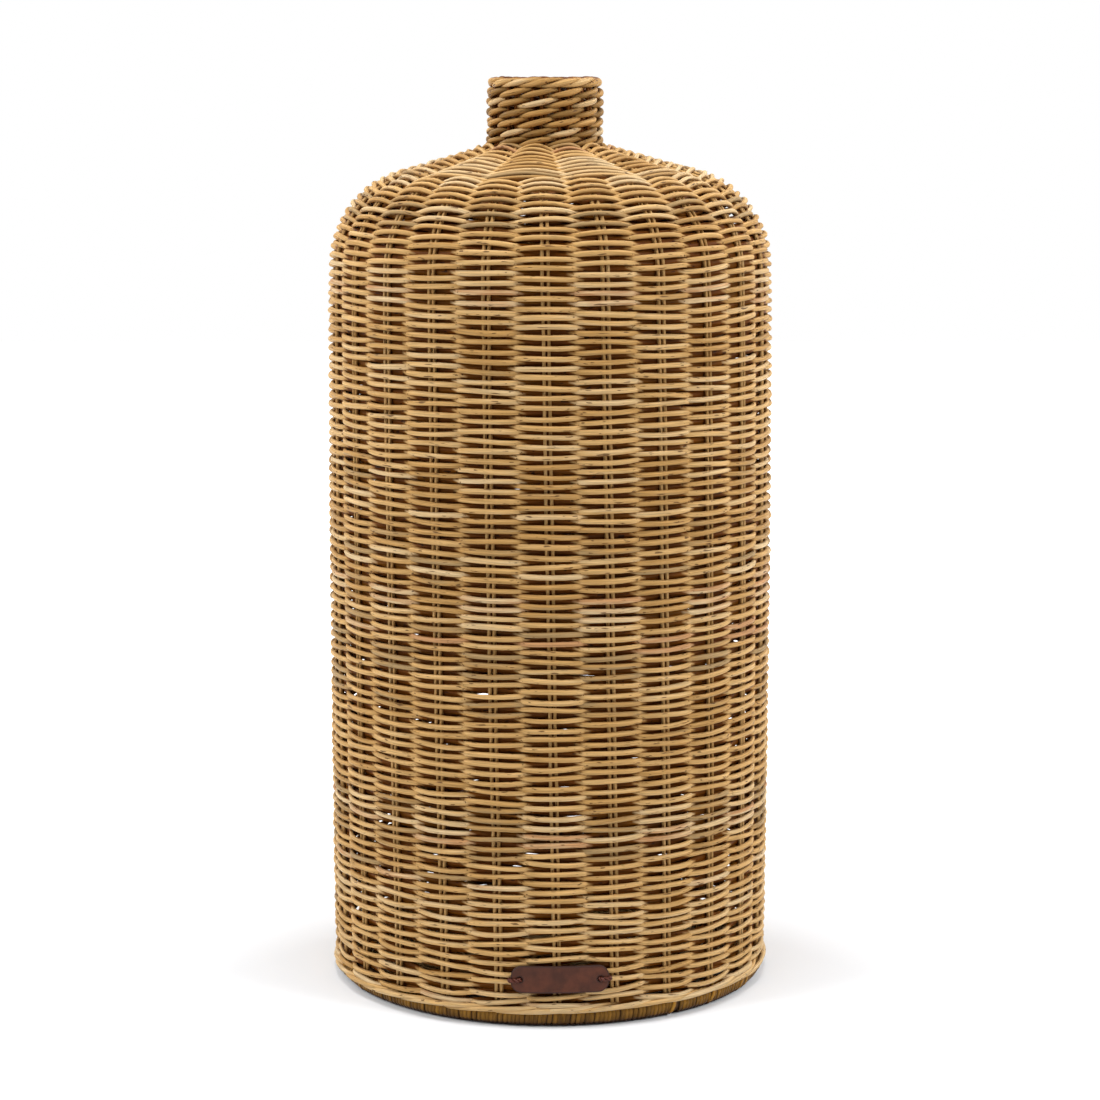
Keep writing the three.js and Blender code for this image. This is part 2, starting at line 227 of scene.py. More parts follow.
def paint_recess_shade(tree, tint, finish):
    """A tint made brown as painted shade in the recesses of the weave, behind the stakes and along the
    edges.
    """
    shade_mask = add_node(tree, "ShaderNodeAttribute", {"attribute_name": "shade_mask"})
    shaded = add_node(
        tree, "ShaderNodeMix", {"data_type": "RGBA", "blend_type": "MULTIPLY"},
        {0: shade_mask.outputs["Fac"], 6: tint, 7: finish.painted_shade},
    )
    return shaded.outputs[2]


def close_material(tree, height, strength, depth, inputs):
    """Ends a material: a relief with a depth in millimetres, the surface and the output."""
    relief = add_node(
        tree, "ShaderNodeBump", inputs={"Strength": strength, "Distance": depth * MM, "Height": height}
    )
    surface = add_node(
        tree, "ShaderNodeBsdfPrincipled", inputs={"Normal": relief.outputs["Normal"], **inputs}
    )
    add_node(tree, "ShaderNodeOutputMaterial", inputs={"Surface": surface.outputs["BSDF"]})


def rattan_core(name, stops, finish, roughness):
    """Round rattan core: dry satin straw on the crests with fine grain along it, mottling and dark
    nicks, and deep brown painted shade in the recesses, behind the stakes and along the edges of the
    strands."""
    if name in bpy.data.materials:
        return bpy.data.materials[name]
    material, tree = new_material(name)
    # Grain is drawn 0.6 mm wide and 16 mm long, coarser than in real rattan, so that it shows.
    grain = along_strand(tree, 16, 0.6, 3.0, 0.6)
    mottle = along_strand(tree, 22, 6, 2.0, 0.55)
    # The peaks of this noise are nicks, 2 to 4 mm long and half a millimetre wide.
    nick = along_strand(tree, 6, 1.8, 2.0, 0.5)
    nick_mask = add_node(
        tree, "ShaderNodeMapRange", {"interpolation_type": "SMOOTHSTEP"},
        {"Value": nick, "From Min": 0.63, "From Max": 0.69, "To Max": 0.85},
    )
    drift = add_node(
        tree, "ShaderNodeMapRange",
        inputs={"Value": mottle, "From Min": 0.25, "From Max": 0.75, "To Min": -0.16, "To Max": 0.16},
    )
    tone = add_node(tree, "ShaderNodeAttribute", {"attribute_name": "tone"})
    shade = add_node(
        tree, "ShaderNodeMath", {"operation": "ADD"},
        {0: tone.outputs["Fac"], 1: drift.outputs["Result"]},
    )
    palette = add_node(tree, "ShaderNodeValToRGB", inputs={"Fac": shade.outputs["Value"]})
    marks = palette.color_ramp.elements
    marks[0].position, marks[0].color = stops[0]
    marks[1].position, marks[1].color = stops[-1]
    for position, value in stops[1:-1]:
        marks.new(position).color = value
    streak = add_node(
        tree, "ShaderNodeMapRange",
        inputs={"Value": grain, "From Min": 0.3, "From Max": 0.7, "To Min": 0.6, "To Max": 1.2},
    )
    grained = add_node(
        tree, "ShaderNodeMix", {"data_type": "RGBA", "blend_type": "MULTIPLY"},
        {0: 1.0, 6: palette.outputs["Color"], 7: streak.outputs["Result"]},
    )
    marked = add_node(
        tree, "ShaderNodeMix", {"data_type": "RGBA"},
        {0: nick_mask.outputs["Result"], 6: grained.outputs[2], 7: finish.scar},
    )
    dull = add_node(
        tree, "ShaderNodeMapRange",
        inputs={
            "Value": grain, "From Min": 0.3, "From Max": 0.7,
            "To Min": roughness + 0.1, "To Max": roughness - 0.08,
        },
    )
    close_material(
        tree, grain, 0.35, 0.25,
        {
            "Base Color": paint_recess_shade(tree, marked.outputs[2], finish),
            "Roughness": dull.outputs["Result"], "IOR": 1.45, "Specular IOR Level": 0.15,
        },
    )
    return material


def rattan_peel(finish):
    """Flat outer peel of rattan, lapped while wet: smooth, low sheen, olive brown with dark fibres, with
    painted shade at the edges of the laps and along the bottom.
    """
    material, tree = new_material("flat_rattan_peel")
    tone = add_node(tree, "ShaderNodeAttribute", {"attribute_name": "tone"})
    # Fibres are drawn 0.7 mm wide and 12 mm long, coarser than real ones, so that they show.
    fibre = along_strand(tree, 12, 0.7, 2.0, 0.5)
    shade = add_node(
        tree, "ShaderNodeMath", {"operation": "MULTIPLY_ADD"}, {0: fibre, 1: 0.9, 2: tone.outputs["Fac"]}
    )
    share = add_node(
        tree, "ShaderNodeMapRange",
        inputs={"Value": shade.outputs["Value"], "From Min": 0.3, "From Max": 1.2},
    )
    tint = add_node(
        tree, "ShaderNodeMix", {"data_type": "RGBA"},
        {0: share.outputs["Result"], 6: finish.peel_dark, 7: finish.peel},
    )
    close_material(
        tree, fibre, 0.3, 0.2,
        {
            "Base Color": paint_recess_shade(tree, tint.outputs[2], finish),
            "Roughness": 0.45, "Specular IOR Level": 0.12,
        },
    )
    return material


def tanned_leather(finish):
    """Vegetable-tanned cowhide, cut and oiled: soft sheen, fine pebbled grain, dark burnished edges."""
    material, tree = new_material("tanned_leather")
    place = add_node(tree, "ShaderNodeTexCoord")
    edge = add_node(tree, "ShaderNodeAttribute", {"attribute_name": "edge"})
    # Pebbles are 0.9 mm across, a little coarser than real grain, and worn patches 9 mm.
    pebble = add_node(
        tree, "ShaderNodeTexVoronoi", {"feature": "SMOOTH_F1"},
        {"Vector": place.outputs["Object"], "Scale": 1 / (0.9 * MM), "Smoothness": 0.6},
    )
    cloud = add_node(
        tree, "ShaderNodeTexNoise",
        inputs={
            "Vector": place.outputs["Object"], "Scale": 1 / (9 * MM), "Detail": 3.0, "Roughness": 0.6,
        },
    )
    wear_and_shade = add_node(
        tree, "ShaderNodeMapRange",
        inputs={
            "Value": cloud.outputs["Fac"], "From Min": 0.33, "From Max": 0.67,
            "To Min": 0.62, "To Max": 1.25,
        },
    )
    clouded = add_node(
        tree, "ShaderNodeMix", {"data_type": "RGBA", "blend_type": "MULTIPLY"},
        {0: 1.0, 6: finish.leather, 7: wear_and_shade.outputs["Result"]},
    )
    rimmed = add_node(
        tree, "ShaderNodeMix", {"data_type": "RGBA"},
        {0: edge.outputs["Fac"], 6: clouded.outputs[2], 7: finish.leather_edge},
    )
    close_material(
        tree, pebble.outputs["Distance"], 0.4, 0.12,
        {"Base Color": rimmed.outputs[2], "Roughness": 0.55, "Specular IOR Level": 0.25},
    )
    return material


def straw_rattan(finish):
    """The woven strands: straw to honey, with weathered and russet ones among them."""
    browns = ((0.0, finish.grey), (0.22, finish.honey))
    stops = (*browns, (0.5, finish.straw), (0.8, finish.pale), (1.0, finish.russet))
    return rattan_core("rattan_core_straw", stops, finish, 0.55)


def stake_rattan(finish):
    """The thin sticks of the stakes: plain straw and honey, seen only in the gaps of the weave."""
    stops = ((0.0, finish.honey), (0.5, finish.straw), (1.0, finish.pale))
    return rattan_core("rattan_core_sticks", stops, finish, 0.6)


def dark_cane(finish):
    """The thicker strands of the neck: a little browner than the body."""
    stops = ((0.0, finish.umber), (0.38, finish.honey), (0.66, finish.straw), (0.9, finish.pale))
    return rattan_core("rattan_core_thick", stops, finish, 0.52)


def rattan_pole(finish):
    """The pole bent into the foot ring, seen only between laps of peel: dull and blotched, and dark as
    painted shade in the joins.
    """
    material, tree = new_material("rattan_pole")
    place = add_node(tree, "ShaderNodeTexCoord")
    # Blotches are 4 mm apart.
    blotch = add_node(
        tree, "ShaderNodeTexNoise",
        inputs={
            "Vector": place.outputs["Object"], "Scale": 1 / (4 * MM), "Detail": 3.0, "Roughness": 0.6,
        },
    )
    tint = add_node(
        tree, "ShaderNodeMix", {"data_type": "RGBA"},
        {0: blotch.outputs["Fac"], 6: finish.scar, 7: finish.peel_dark},
    )
    close_material(
        tree, blotch.outputs["Fac"], 0.3, 0.3,
        {"Base Color": tint.outputs[2], "Roughness": 0.7, "IOR": 1.45},
    )
    return material


def twisted_thong(finish):
    """Thin leather thong, twisted and waxed: dark, a little glossy on its plies, finely creased."""
    material, tree = new_material("twisted_thong")
    # Creases are 3 mm long and 0.3 mm wide.
    crease = along_strand(tree, 3, 0.3, 2.0, 0.6)
    share = add_node(
        tree, "ShaderNodeMapRange",
        inputs={"Value": crease, "From Min": 0.3, "From Max": 0.7, "To Min": 0.55, "To Max": 1.35},
    )
    tint = add_node(
        tree, "ShaderNodeMix", {"data_type": "RGBA", "blend_type": "MULTIPLY"},
        {0: 1.0, 6: finish.thong, 7: share.outputs["Result"]},
    )
    close_material(
        tree, crease, 0.4, 0.2,
        {"Base Color": tint.outputs[2], "Roughness": 0.35, "Specular IOR Level": 0.25},
    )
    return material


def seen_directly(tree):
    """One where a ray from the camera, a mirror or a glass arrives, and nought for spread light."""
    path = add_node(tree, "ShaderNodeLightPath")
    shiny = add_node(
        tree, "ShaderNodeMath", {"operation": "MAXIMUM"},
        {0: path.outputs["Is Glossy Ray"], 1: path.outputs["Is Transmission Ray"]},
    )
    either = add_node(
        tree, "ShaderNodeMath", {"operation": "MAXIMUM"},
        {0: path.outputs["Is Camera Ray"], 1: shiny.outputs["Value"]},
    )
    return either.outputs["Value"]


def painted_floor(finish):
    """Matt white painted floor that keeps the shadow at the foot and fades into the surround."""
    material, tree = new_material("painted_floor")
    place = add_node(tree, "ShaderNodeTexCoord")
    distance = add_node(
        tree, "ShaderNodeVectorMath", {"operation": "LENGTH"}, {0: place.outputs["Object"]}
    )
    # It fades from 0.15 m to 0.9 m away from the vase's middle.
    far = add_node(
        tree, "ShaderNodeMapRange", {"interpolation_type": "SMOOTHSTEP"},
        {"Value": distance.outputs["Value"], "From Min": 0.15, "From Max": 0.9},
    )
    lift = add_node(
        tree, "ShaderNodeMath", {"operation": "MULTIPLY"},
        {0: far.outputs["Result"], 1: seen_directly(tree)},
    )
    paint = add_node(tree, "ShaderNodeBsdfDiffuse", inputs={"Color": finish.floor, "Roughness": 0.3})
    white = add_node(
        tree, "ShaderNodeEmission", inputs={"Color": (1, 1, 1, 1), "Strength": lift.outputs["Value"]}
    )
    mixed = add_node(
        tree, "ShaderNodeAddShader", inputs={0: paint.outputs["BSDF"], 1: white.outputs["Emission"]}
    )
    add_node(tree, "ShaderNodeOutputMaterial", inputs={"Surface": mixed.outputs["Shader"]})
    return material


def surround(scene):
    """A white surround to look at, that lights the vase softly from all sides."""
    world = bpy.data.worlds.new("surround")
    world.use_nodes = True
    tree = world.node_tree
    tree.nodes.clear()
    soft = add_node(tree, "ShaderNodeBackground", inputs={"Color": (1, 1, 1, 1), "Strength": 0.12})
    white = add_node(tree, "ShaderNodeBackground", inputs={"Color": (1, 1, 1, 1), "Strength": 1.0})
    mixed = add_node(
        tree, "ShaderNodeMixShader",
        inputs={0: seen_directly(tree), 1: soft.outputs["Background"], 2: white.outputs["Background"]},
    )
    add_node(tree, "ShaderNodeOutputWorld", inputs={"Surface": mixed.outputs["Shader"]})
    scene.world = world


class WallLine:
    """The line that the stakes follow, from the floor up: body, shoulder, crown, fillet and neck."""

    def __init__(self, sizes):
        proud = sizes.strand * (STRAND_NEST + STRAND_FLAT / 2)
        self.middle = sizes.body_radius - proud - sizes.stake * STAKE_NEST
        self.swing = sizes.strand * STRAND_NEST + sizes.stake * STAKE_NEST
        self.turn = math.pi / 2 - sizes.crown_slope
        arc = sizes.shoulder_radius - (sizes.body_radius - self.middle)
        neck = sizes.neck_radius - sizes.neck_strand * NECK_NEST - sizes.stake / 2
        crown_start = self.middle - arc * (1 - math.cos(self.turn))
        fillet_in = sizes.neck_fillet * math.tan(self.turn / 2)
        crown = (crown_start - neck) / math.cos(sizes.crown_slope) - fillet_in
        self.neck_radius = neck
        self.shoulder_foot = sizes.shoulder_foot
        self.neck_foot = sizes.rim_top - sizes.neck_rise
        self.lean_by = sizes.neck_lean
        self.sag_by = sizes.sag
        self.body_end = sizes.shoulder_foot
        self.shoulder_end = self.body_end + arc * self.turn
        self.crown_end = self.shoulder_end + crown
        self.fillet_end = self.crown_end + sizes.neck_fillet * self.turn
        # The line goes on 100 mm up the neck, and is sampled about every tenth of a millimetre.
        line_end = self.fillet_end + 0.1
        knots = [0, self.body_end, self.shoulder_end, self.crown_end, self.fillet_end, line_end]
        self.along = np.linspace(0, line_end, 6001)
        self.angle = np.interp(self.along, knots, [0, 0, self.turn, self.turn, 0, 0])
        step = self.along[1]
        sine, cosine = np.sin(self.angle), np.cos(self.angle)
        self.r = self.middle - np.concatenate([[0], np.cumsum((sine[1:] + sine[:-1]) / 2 * step)])
        # A power below one makes the swell blunt, so that it begins soon after the foot.
        bulge = np.sin(np.pi * np.clip(self.along / self.body_end, 0, 1)) ** 0.6
        self.r = self.r + sizes.swell * bulge
        self.z = np.concatenate([[0], np.cumsum((cosine[1:] + cosine[:-1]) / 2 * step)])

    def at_height(self, z):
        """How far along the line a height lies."""
        return np.interp(z, self.z, self.along)

    def where_radius(self, radius):
        """How far along the line the shoulder and crown have narrowed to a radius."""
        upper = self.along >= self.body_end
        return np.interp(-radius, -self.r[upper], self.along[upper])

    def lean(self, z):
        """How far the vase leans to one side at a height."""
        share = np.clip((z - self.shoulder_foot) / (self.neck_foot - self.shoulder_foot), 0, 1)
        return self.lean_by * share * share

    def drop(self, r, z, aside):
        """How far the shoulder and crown have sunk, more on the left than on the right. It begins over
        50 mm of height round the shoulder's foot, and ends over the last 20 mm before the neck."""
        begun = np.clip((z - self.shoulder_foot) / 0.05 + 0.5, 0, 1)
        clear = np.clip((r - self.neck_radius) / 0.02, 0, 1)
        return self.sag_by * (begun * clear) * (1 - aside / self.middle)

    def place(self, azimuth, along, out, up=0.0):
        """Points at a distance outwards and up from the line, and the outward direction at each."""
        along = np.broadcast_to(along, azimuth.shape)
        angle = np.interp(along, self.along, self.angle)
        r = np.interp(along, self.along, self.r) + out * np.cos(angle) - up * np.sin(angle)
        z = np.interp(along, self.along, self.z) + out * np.sin(angle) + up * np.cos(angle)
        sine, cosine = np.sin(azimuth), np.cos(azimuth)
        points = np.stack([r * sine + self.lean(z), -r * cosine, z - self.drop(r, z, r * sine)], 1)
        outward = np.stack([np.cos(angle) * sine, -np.cos(angle) * cosine, np.sin(angle)], 1)
        return points, outward


def unit(vectors):
    """Vectors brought to length one."""
    return vectors / np.maximum(np.linalg.norm(vectors, axis=-1, keepdims=True), 1e-12)


class Strand:
    """One rod of rattan: its middle line, the way its face turns, its half sizes, its tone, how far it
    lies before the stakes as a share of its swing, which sets its painted shade, and where its grain
    starts."""

    def __init__(self, points, outward, half_out, half_up, tone, level, closed=False, start=0.0):
        ahead = np.diff(points, axis=0)
        if closed:
            run = unit(np.concatenate([ahead, ahead[:1]]) + np.concatenate([ahead[-1:], ahead]))
        else:
            run = unit(np.gradient(points, axis=0))
        count = len(points)
        self.points = points
        self.out = unit(outward - run * (outward * run).sum(1, keepdims=True))
        self.up = np.cross(run, self.out)
        self.half_out = np.broadcast_to(half_out, count)
        self.half_up = np.broadcast_to(half_up, count)
        self.tone = np.broadcast_to(tone, count)
        self.level = np.broadcast_to(level, count)
        self.length = np.linalg.norm(ahead, axis=1).sum()
        self.girth = math.pi * (self.half_out.mean() + self.half_up.mean())
        self.start = start


def rods(name, strands, sides, material):
    """One piece of many rods: each is a flat grid, rolled up round its middle line and closed."""
    bm = bmesh.new()
    for number, strand in enumerate(strands):
        spans = len(strand.points) - 1
        layer = Matrix.Translation((0, 0, number))
        bmesh.ops.create_grid(bm, x_segments=spans, y_segments=sides, size=1.0, matrix=layer)
    mesh = bpy.data.meshes.new(name)
    bm.to_mesh(mesh)
    flat = np.empty(len(mesh.vertices) * 3, np.float32)
    mesh.vertices.foreach_get("co", flat)
    flat = flat.reshape(-1, 3)
    owner = np.rint(flat[:, 2]).astype(int)
    rolled = np.empty((len(flat), 3), np.float32)
    chart = np.empty((len(flat), 2), np.float32)
    tone = np.empty(len(flat), np.float32)
    shade_mask = np.empty(len(flat), np.float32)
    for number, strand in enumerate(strands):
        mine = slice(*np.searchsorted(owner, [number, number + 1]))
        share = (flat[mine, :2] + 1) / 2
        step = np.rint(share[:, 0] * (len(strand.points) - 1)).astype(int)
        turn = 2 * math.pi * share[:, 1:]
        across = strand.half_out[step, None] * np.cos(turn) * strand.out[step]
        upward = strand.half_up[step, None] * np.sin(turn) * strand.up[step]
        rolled[mine] = strand.points[step] + across + upward
        chart[mine] = share * (strand.length, strand.girth) + (strand.start, 0)
        tone[mine] = strand.tone[step]
        # Painted shade: the lower edge of each strand and, less, its upper edge are darkened as the
        # shadow lines between rows, and spans that lie behind the stakes are darkened where shade falls.
        edge = np.sin(turn[:, 0])
        beside = np.clip((np.abs(edge) - EDGE_FROM) / EDGE_SPAN, 0, 1)
        edge_shade = np.where(edge > 0, SHADE_BELOW, SHADE_ABOVE) * beside
        hidden = (SHADE_FROM + SHADE_WEDGE * edge * edge - strand.level[step]) / SHADE_SOFT
        shade_mask[mine] = np.maximum(edge_shade, np.clip(hidden, 0, 1))
    mesh.vertices.foreach_set("co", rolled.ravel())
    mesh.attributes.new("tone", "FLOAT", "POINT").data.foreach_set("value", tone)
    mesh.attributes.new("shade_mask", "FLOAT", "POINT").data.foreach_set("value", shade_mask)
    corners = np.empty(len(mesh.loops), np.int32)
    mesh.loops.foreach_get("vertex_index", corners)
    mesh.uv_layers.new(name="UVMap").data.foreach_set("uv", chart[corners].ravel())
    bm.clear()
    bm.from_mesh(mesh)
    bmesh.ops.remove_doubles(bm, verts=bm.verts, dist=1e-6)
    bmesh.ops.holes_fill(bm, edges=[edge for edge in bm.edges if edge.is_boundary], sides=sides)
    bmesh.ops.recalc_face_normals(bm, faces=bm.faces)
    bm.to_mesh(mesh)
    bm.free()
    return new_piece(name, mesh, material)


def new_piece(name, mesh, material):
    """A smooth mesh as an object at the origin that rides on the vase."""
    mesh.polygons.foreach_set("use_smooth", np.ones(len(mesh.polygons), bool))
    mesh.materials.append(material)
    piece = bpy.data.objects.new(name, mesh)
    bpy.context.scene.collection.objects.link(piece)
    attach(piece, "root")
    return piece


def ripple(rng, azimuth, counts, amounts):
    """A smooth random offset round the vase: waves of given counts per turn and given heights."""
    waves = [
        amount * np.sin(count * azimuth + rng.uniform(0, ANY_PHASE))
        for count, amount in zip(counts, amounts)
    ]
    return np.sum(waves, axis=0)


def pick_tone(rng):
    """A strand's place on the range from weathered over honey and straw to pale, then russet."""
    kind = rng.uniform()
    if kind < RUSSET_SHARE:
        return rng.uniform(0.88, 0.98)
    if kind < RUSSET_SHARE + WEATHERED_SHARE:
        return rng.uniform(0.02, 0.14)
    return float(np.clip(rng.normal(0.46, 0.15), 0.18, 0.8))


def stake_azimuth(sizes, line, along):
    """How far round the stakes have turned at a place on the wall."""
    share = np.clip((along - BASE_LOW.z) / (line.body_end - BASE_LOW.z), 0, 1)
    return sizes.twist_foot + (sizes.twist_shoulder - sizes.twist_foot) * share


def settling(rng):
    """How the rows sag and rise together: waves round and up the vase, 0.26 mm high."""
    waves = []
    for _ in range(6):
        waves.append((int(rng.integers(1, 8)), rng.uniform(0.09, 0.3), rng.uniform(0, ANY_PHASE)))

    def lift(azimuth, along):
        return sum(
            0.00026 * np.sin(count * azimuth + 2 * math.pi * along / tall + phase)
            for count, tall, phase in waves
        )

    return lift


def foot_line(sizes, azimuth):
    """How much higher or lower the lowest rows lie, as the weave has settled on its foot ring."""
    return sizes.tilt * np.sin(azimuth) - sizes.droop * np.sin(azimuth) ** 2


def wall_rows(sizes, line):
    """Where the rows lie along the wall: those over single stakes, two of them behind the wale, and
    those of the crown."""
    side_rows = 2 * round((SIDE_HIGH.z - SIDE_LOW.z) / sizes.row_pitch / 2)
    side_pitch = (SIDE_HIGH.z - SIDE_LOW.z) / side_rows
    side = SIDE_LOW.z + side_pitch * np.arange(-2, side_rows)
    shoulder = np.arange(line.body_end, line.where_radius(sizes.crown_radius), sizes.row_pitch)
    first = shoulder[-1] + sizes.crown_pitch * 0.85
    last = line.crown_end + sizes.neck_fillet * 0.35
    crown = np.arange(first, last, sizes.crown_pitch)
    return np.concatenate([side, shoulder]), crown


def weft(sizes, line, rng, rows, stakes, turn, samples):
    """Rows of strands that go over one stake and under the next, by turns from row to row, and join
    behind a stake."""
    strands = []
    lift = settling(rng)
    tones = [pick_tone(rng), pick_tone(rng)]
    back = stakes // 2
    # Points crowd half way between two stakes, where a strand crosses from front to back.
    beat = np.arange(samples) / samples * 2 - 1
    beat = 0.5 + 0.5 * beat * np.abs(beat) ** 0.7
    for row, along in enumerate(rows):
        begin = back + (row + back + 1) % 2
        joins = [begin, begin + stakes]
        if rng.uniform() < JOIN_SHARE:
            joins.insert(1, begin + 2 * int(rng.integers(2, back - 1)))
        bent = np.clip((along - line.body_end) / (line.shoulder_end - line.body_end), 0, 1)
        raised = np.clip((along - line.shoulder_end) / (line.crown_end - line.shoulder_end), 0, 1)
        # The strands run straight over the stakes of the body, and in a rounder wave further up.
        firm = 1.5 - 0.9 * bent
        # Front spans bow upwards on the shoulder, and more so on the crown.
        arch = 0.0006 * min(1.0, 3 * bent) + 0.001 * raised
        # The rows are most uneven in the lowest 45 mm.
        loose = 1.45 + 1.8 * math.exp((SIDE_LOW.z - along) / 0.045)
        for start, end in zip(joins, joins[1:]):
            if start > begin:
                tones[row % 2] = pick_tone(rng)
            steps = np.append((np.arange(start, end)[:, None] + beat).ravel(), end)
            azimuth = turn + steps * 2 * math.pi / stakes + stake_azimuth(sizes, line, along)
            over = np.tanh(firm * np.cos(math.pi * (steps + row))) / math.tanh(firm)
            swing = line.swing * (1 + ripple(rng, azimuth, (3.3, 7.7), (0.06, 0.05)))
            # The slope of the foot fades out at a height of 220 mm.
            slope = foot_line(sizes, azimuth) * np.clip(1 - along / 0.22, 0, 1) ** 1.5
            uneven = ripple(rng, azimuth, (1.4, 4.3, 11.9, 17.3), (0.00022, 0.0002, 0.00016, 0.00014))
            up = slope + lift(azimuth, along) + loose * uneven + arch * over
            gauge = rng.normal(1, 0.05)
            gauge = gauge + ripple(rng, azimuth, (2.3, 10.3, 14.7), (0.03, 0.03, 0.03))
            thick = sizes.strand / 2 * gauge
            # Spans behind the stakes are drawn taller, so that hardly any light comes through the wall.
            behind = np.clip((0.3 - over) / 1.3, 0, 1) ** 1.5
            tall = thick * (1.0 - 0.07 * bent + (0.8 + 0.22 * bent) * behind)
            points, outward = line.place(azimuth, along, over * swing, up)
            # The shoulder and crown rows are painted a little paler, as painted light from above.
            tone = tones[row % 2] + 0.06 * bent + ripple(rng, azimuth, (1.3, 3.7), (0.05, 0.04))
            grain = rng.uniform(0, ANY_GRAIN)
            strands.append(Strand(points, outward, thick * STRAND_FLAT, tall, tone, over, start=grain))
    return strands


def rope(
    line, rng, along, turns, plies, swing, lift, thick, phase, linger, shade, settle=None, painted_shade=1.0
):
    """A closed row of strands twisted round each other and round the stakes. Its front spans rise to the
    right and linger in front. A shade below nought makes the row darker and browner and deepens the
    painted shade of its hidden spans, painted shade, given as a share, is how much of it the hidden
    spans take up, and a row that is given sizes as settle follows the foot."""
    azimuth = np.linspace(0, 2 * math.pi, 24 * turns + 1)
    strands = []
    for place in range(plies):
        twist = turns * azimuth + phase + 2 * math.pi * place / plies
        twist = twist + ripple(rng, azimuth, (1, 2, 5), (0.1, 0.08, 0.06))
        twist = twist - linger * np.sin(twist)
        out = swing * np.cos(twist) + ripple(rng, azimuth, (2, 5, 9), (0.00012, 0.00015, 0.0001))
        up = lift * np.sin(twist) + ripple(rng, azimuth, (1, 3, 8), (0.00018, 0.00012, 0.0001))
        if settle:
            up = up + foot_line(settle, azimuth) + ripple(rng, azimuth, (4, 9), (0.0003, 0.0003))
        gauge = rng.normal(1, 0.025)
        gauge = gauge + ripple(rng, azimuth, (2, 7, 13), (0.03, 0.025, 0.02))
        half = thick / 2 * gauge
        behind = np.clip(-np.cos(twist), 0, 1) ** 1.5
        tall = half * (1 - 0.26 * np.sin(twist) ** 2 + 0.5 * behind)
        points, outward = line.place(azimuth, along, out, up)
        # Painted light and shade: each front crest is painted paler and each span behind darker.
        tone = pick_tone(rng) + shade + 0.16 * np.cos(twist)
        tone = tone + ripple(rng, azimuth, (1, 3), (0.06, 0.05))
        grain = rng.uniform(0, ANY_GRAIN)
        level = painted_shade * np.cos(twist) + shade
        ply = Strand(points, outward, half * PLY_FLAT, tall, tone, level, closed=True, start=grain)
        strands.append(ply)
    return strands


class VASE_OT_weave_walls(bpy.types.Operator):
    """Weave the body, in three bands of rows, and the shoulder"""

    bl_idname = "vase.weave_walls"
    bl_label = "Weave Walls"

    def execute(self, context):
        sizes, material = context.scene.vase_sizes, straw_rattan(context.scene.vase_finish)
        line = WallLine(sizes)
        rng = np.random.default_rng(21)
        rows = weft(sizes, line, rng, wall_rows(sizes, line)[0], sizes.stake_pairs, 0.0, 8)
        middles = np.array([np.median(strand.points[:, 2]) for strand in rows])
        edges = np.linspace(0, line.body_end, 4)
        for number, name in enumerate(("side_weave_low", "side_weave_middle", "side_weave_high")):
            band = np.flatnonzero((middles >= edges[number]) & (middles < edges[number + 1]))
            piece = rods(name, [rows[i] for i in band], 8, material)
            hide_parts("side_weave_outer", "side_weave_inner")
        upper = np.flatnonzero(middles >= edges[3])
        piece = rods("shoulder_weave", [rows[i] for i in upper], 8, material)
        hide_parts("shoulder_weave_outer", "shoulder_weave_inner")
        return {"FINISHED"}


class VASE_OT_weave_crown(bpy.types.Operator):
    """Weave the crown over the stakes taken two at a time"""

    bl_idname = "vase.weave_crown"
    bl_label = "Weave Crown"

    def execute(self, context):
        sizes, material = context.scene.vase_sizes, straw_rattan(context.scene.vase_finish)
        line = WallLine(sizes)
        rng = np.random.default_rng(31)
        groups = sizes.stake_pairs // 2
        turn = -math.pi / sizes.stake_pairs
        rows = weft(sizes, line, rng, wall_rows(sizes, line)[1], groups, turn, 12)
        piece = rods("crown_weave", rows, 8, material)
        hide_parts("crown_weave_outer", "crown_weave_inner")
        return {"FINISHED"}


class VASE_OT_set_stakes(bpy.types.Operator):
    """Set the stakes, each of two thin sticks side by side"""

    bl_idname = "vase.set_stakes"
    bl_label = "Set Stakes"

    def execute(self, context):
        sizes, material = context.scene.vase_sizes, stake_rattan(context.scene.vase_finish)
        line = WallLine(sizes)
        rng = np.random.default_rng(41)
        straight = np.linspace(BASE_LOW.z, line.body_end, 30)
        bent = np.linspace(line.body_end, line.at_height(NECK_HIGH.z), 42)[1:]
        along = np.concatenate([straight, bent])
        apart = np.interp(along, [line.shoulder_end, line.fillet_end], [1.0, 0.72])
        for pair in range(sizes.stake_pairs):
            azimuth = 2 * math.pi * pair / sizes.stake_pairs + stake_azimuth(sizes, line, along)
            sticks = []
            for side in (-0.5, 0.5):
                middle, outward = line.place(azimuth, along, 0.0)
                across = np.stack([np.cos(azimuth), np.sin(azimuth), np.zeros(len(along))], 1)
                drift = ripple(rng, along * 40, (1, 2.3), (0.00012, 0.00008))
                points = middle + across * (side * sizes.stake_spacing * apart + drift)[:, None]
                half = sizes.stake / 2 * rng.normal(1, 0.03)
                tone = np.clip(rng.normal(0.36, 0.15), 0, 0.8)
                tone = tone + ripple(rng, along * 30, (1, 2.7), (0.08, 0.06))
                # Inside the neck the sticks take the full painted shade, as little light gets in there.
                level = np.where(along < line.crown_end, 0.3, -1.0)
                grain = rng.uniform(0, ANY_GRAIN)
                sticks.append(Strand(points, outward, half, half, tone, level, start=grain))
            piece = rods(f"stake_sticks_{pair + 1:02d}", sticks, 6, material)
            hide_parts(f"stake_{pair + 1:02d}")
        return {"FINISHED"}


